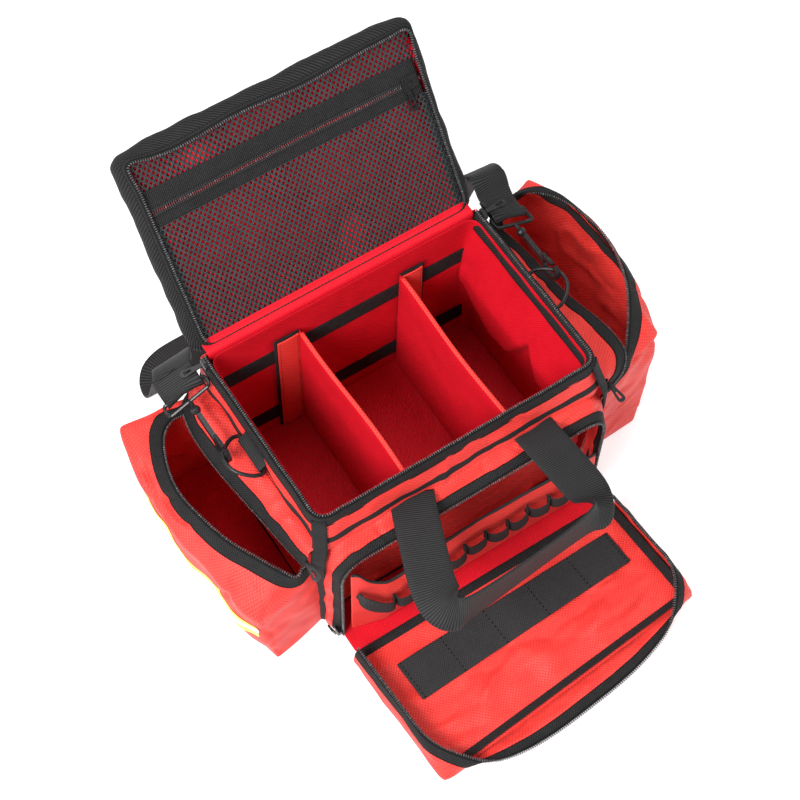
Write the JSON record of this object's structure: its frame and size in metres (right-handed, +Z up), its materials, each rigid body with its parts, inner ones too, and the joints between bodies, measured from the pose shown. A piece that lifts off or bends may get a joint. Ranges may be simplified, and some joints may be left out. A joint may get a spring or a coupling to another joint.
{
  "type": "trauma bag",
  "caption": "Red soft-sided trauma bag standing open: lidded divided main compartment, fold-down front pocket, side pockets, webbing handles and a shoulder strap.",
  "frame": {"origin": "centre of the base, on the surface the bag stands on", "axes": "+Z up, +X to the bag's right seen from the front, -Y towards the front pocket"},
  "size_m": [0.575, 0.637, 0.4196],
  "materials": {
    "red_fabric": "coated woven polyester with a soft sheen",
    "red_lining": "fine woven nylon lining over foam",
    "black_webbing": "ribbed polypropylene webbing",
    "black_binding": "woven binding tape and coated cloth",
    "black_zip": "coil zip on woven tape",
    "black_mesh": "open hexagonal netting",
    "stiff_board": "plain stiffening sheet",
    "black_metal": "black lacquered metal, lightly worn"
  },
  "bodies": {
    "root": {"base_panel": "red_fabric", "base_board": "stiff_board", "front_wall": "red_fabric", "rear_wall": "red_fabric", "left_wall": "red_fabric", "right_wall": "red_fabric", "rim_zip_track": "black_zip", "rear_loop_strip_upper": "black_binding", "rear_loop_strip_lower": "black_binding", "front_pocket_floor": "red_fabric", "front_pocket_gusset": "red_fabric", "front_pocket_zip_track": "black_zip", "organiser_panel": "red_lining", "organiser_elastic_loops": "black_webbing", "left_pocket_gusset": "red_fabric", "left_pocket_inner_lip": "black_zip", "right_pocket_gusset": "red_fabric", "right_pocket_inner_lip": "black_zip", "left_ring_tab": "black_webbing", "right_ring_tab": "black_webbing", "left_strap_ring": "black_metal", "right_strap_ring": "black_metal", "shoulder_strap": "black_webbing"},
    "lid": {"lid_panel": "red_fabric", "lid_gusset": "black_binding", "lid_zip_track": "black_zip", "lid_liner": "red_lining", "lid_mesh_lower": "black_mesh", "lid_pocket_zip": "black_zip", "lid_mesh_upper": "black_mesh"},
    "lid_pocket_slider": {"lid_pocket_slider": "black_metal"},
    "lid_pocket_puller": {"lid_pocket_puller": "black_metal"},
    "flap": {"flap_panel": "red_fabric", "flap_gusset": "red_fabric", "flap_zip_track": "black_zip", "flap_elastic_strip": "black_webbing"},
    "front_handle": {"front_handle": "black_webbing"},
    "rear_handle": {"rear_handle": "black_webbing"},
    "divider_left": {"divider_left": "red_lining"},
    "divider_right": {"divider_right": "red_lining"},
    "front_pocket_slider": {"front_pocket_slider": "black_metal"},
    "front_pocket_puller": {"front_pocket_puller": "black_metal"},
    "left_pocket_outer": {"left_pocket_outer_panel": "red_fabric", "left_pocket_top_strip": "black_zip"},
    "main_left_slider": {"main_left_slider": "black_metal"},
    "main_left_puller": {"main_left_puller": "black_metal"},
    "left_pocket_slider": {"left_pocket_slider": "black_metal"},
    "left_pocket_puller": {"left_pocket_puller": "black_metal"},
    "left_d_ring": {"left_d_ring": "black_metal"},
    "left_hook": {"left_snap_hook": "black_metal"},
    "left_gate": {"left_hook_gate": "black_metal"},
    "right_pocket_outer": {"right_pocket_outer_panel": "red_fabric", "right_pocket_top_strip": "black_zip"},
    "main_right_slider": {"main_right_slider": "black_metal"},
    "main_right_puller": {"main_right_puller": "black_metal"},
    "right_pocket_slider": {"right_pocket_slider": "black_metal"},
    "right_pocket_puller": {"right_pocket_puller": "black_metal"},
    "right_d_ring": {"right_d_ring": "black_metal"},
    "right_hook": {"right_snap_hook": "black_metal"},
    "right_gate": {"right_hook_gate": "black_metal"}
  },
  "joints": [
    {"name": "lid_hinge", "type": "hinge", "parent": "root", "child": "lid", "pos_m": [0, 0.116, 0.234], "axis": [1, 0, 0], "range_deg": [0, 126.8]},
    {"name": "flap_hinge", "type": "hinge", "parent": "root", "child": "flap", "pos_m": [0, -0.182, 0.003], "axis": [-1, 0, 0], "range_deg": [0, 90]},
    {"name": "front_handle_swing", "type": "hinge", "parent": "root", "child": "front_handle", "pos_m": [0, -0.121, 0.191], "axis": [-1, 0, 0], "range_deg": [0, 84]},
    {"name": "rear_handle_swing", "type": "hinge", "parent": "root", "child": "rear_handle", "pos_m": [0, 0.1195, 0.191], "axis": [1, 0, 0], "range_deg": [0, 88]},
    {"name": "divider_left_lift", "type": "slide", "parent": "root", "child": "divider_left", "axis": [0, 0, -1], "range_m": [-0.235, 0]},
    {"name": "divider_right_lift", "type": "slide", "parent": "root", "child": "divider_right", "axis": [0, 0, -1], "range_m": [-0.235, 0]},
    {"name": "lid_pocket_zip_slide", "type": "slide", "parent": "lid", "child": "lid_pocket_slider", "axis": [-1, 0, 0], "range_m": [0, 0.29]},
    {"name": "lid_pocket_puller_swing", "type": "hinge", "parent": "lid_pocket_slider", "child": "lid_pocket_puller", "pos_m": [0.146, 0.21205, 0.35822], "axis": [-1, 0, 0], "range_deg": [0, 110]},
    {"name": "front_pocket_zip_slide", "type": "slide", "parent": "root", "child": "front_pocket_slider", "axis": [0, 0, 1], "range_m": [0, 0.14]},
    {"name": "front_pocket_puller_swing", "type": "hinge", "parent": "front_pocket_slider", "child": "front_pocket_puller", "pos_m": [-0.1788, -0.1485, 0.016], "axis": [0, 1, 0], "range_deg": [-75, 10]},
    {"name": "left_pocket_hinge", "type": "hinge", "parent": "root", "child": "left_pocket_outer", "pos_m": [-0.25, 0, 0.003], "axis": [0, 1, 0], "range_deg": [0, 13.4]},
    {"name": "main_left_zip_slide", "type": "slide", "parent": "root", "child": "main_left_slider", "axis": [0, -1, 0], "range_m": [0, 0.19]},
    {"name": "main_left_puller_swing", "type": "hinge", "parent": "main_left_slider", "child": "main_left_puller", "pos_m": [-0.1818, 0.104, 0.237], "axis": [0, 1, 0], "range_deg": [0, 90]},
    {"name": "left_pocket_zip_slide", "type": "slide", "parent": "root", "child": "left_pocket_slider", "axis": [0, 1, 0], "range_m": [0, 0.2]},
    {"name": "left_pocket_puller_swing", "type": "hinge", "parent": "left_pocket_slider", "child": "left_pocket_puller", "pos_m": [-0.1938, -0.121, 0.1735], "axis": [-1, 0, 0], "range_deg": [0, 110]},
    {"name": "left_d_ring_swing", "type": "hinge", "parent": "root", "child": "left_d_ring", "pos_m": [-0.1815, 0, 0.206], "axis": [0, -1, 0], "range_deg": [-2, 6]},
    {"name": "left_hook_swivel", "type": "hinge", "parent": "root", "child": "left_hook", "pos_m": [-0.208, 0.02, 0.214], "axis": [0, 1, 0], "range_deg": [-10, 10]},
    {"name": "left_hook_gate_spring", "type": "hinge", "parent": "left_hook", "child": "left_gate", "pos_m": [-0.208, 0.034, 0.222], "axis": [1, 0, 0], "range_deg": [0, 14], "stiffness_Nm_per_rad": 0.02, "springref_deg": -11.46},
    {"name": "right_pocket_hinge", "type": "hinge", "parent": "root", "child": "right_pocket_outer", "pos_m": [0.25, 0, 0.003], "axis": [0, -1, 0], "range_deg": [0, 18.4]},
    {"name": "main_right_zip_slide", "type": "slide", "parent": "root", "child": "main_right_slider", "axis": [0, -1, 0], "range_m": [0, 0.19]},
    {"name": "main_right_puller_swing", "type": "hinge", "parent": "main_right_slider", "child": "main_right_puller", "pos_m": [0.1818, 0.104, 0.237], "axis": [0, -1, 0], "range_deg": [0, 90]},
    {"name": "right_pocket_zip_slide", "type": "slide", "parent": "root", "child": "right_pocket_slider", "axis": [0, 1, 0], "range_m": [0, 0.2]},
    {"name": "right_pocket_puller_swing", "type": "hinge", "parent": "right_pocket_slider", "child": "right_pocket_puller", "pos_m": [0.1938, -0.121, 0.1735], "axis": [-1, 0, 0], "range_deg": [0, 110]},
    {"name": "right_d_ring_swing", "type": "hinge", "parent": "root", "child": "right_d_ring", "pos_m": [0.1815, 0, 0.206], "axis": [0, 1, 0], "range_deg": [-2, 6]},
    {"name": "right_hook_swivel", "type": "hinge", "parent": "root", "child": "right_hook", "pos_m": [0.208, 0.02, 0.214], "axis": [0, 1, 0], "range_deg": [-10, 10]},
    {"name": "right_hook_gate_spring", "type": "hinge", "parent": "right_hook", "child": "right_gate", "pos_m": [0.208, 0.034, 0.222], "axis": [1, 0, 0], "range_deg": [0, 14], "stiffness_Nm_per_rad": 0.02, "springref_deg": -11.46}
  ]
}
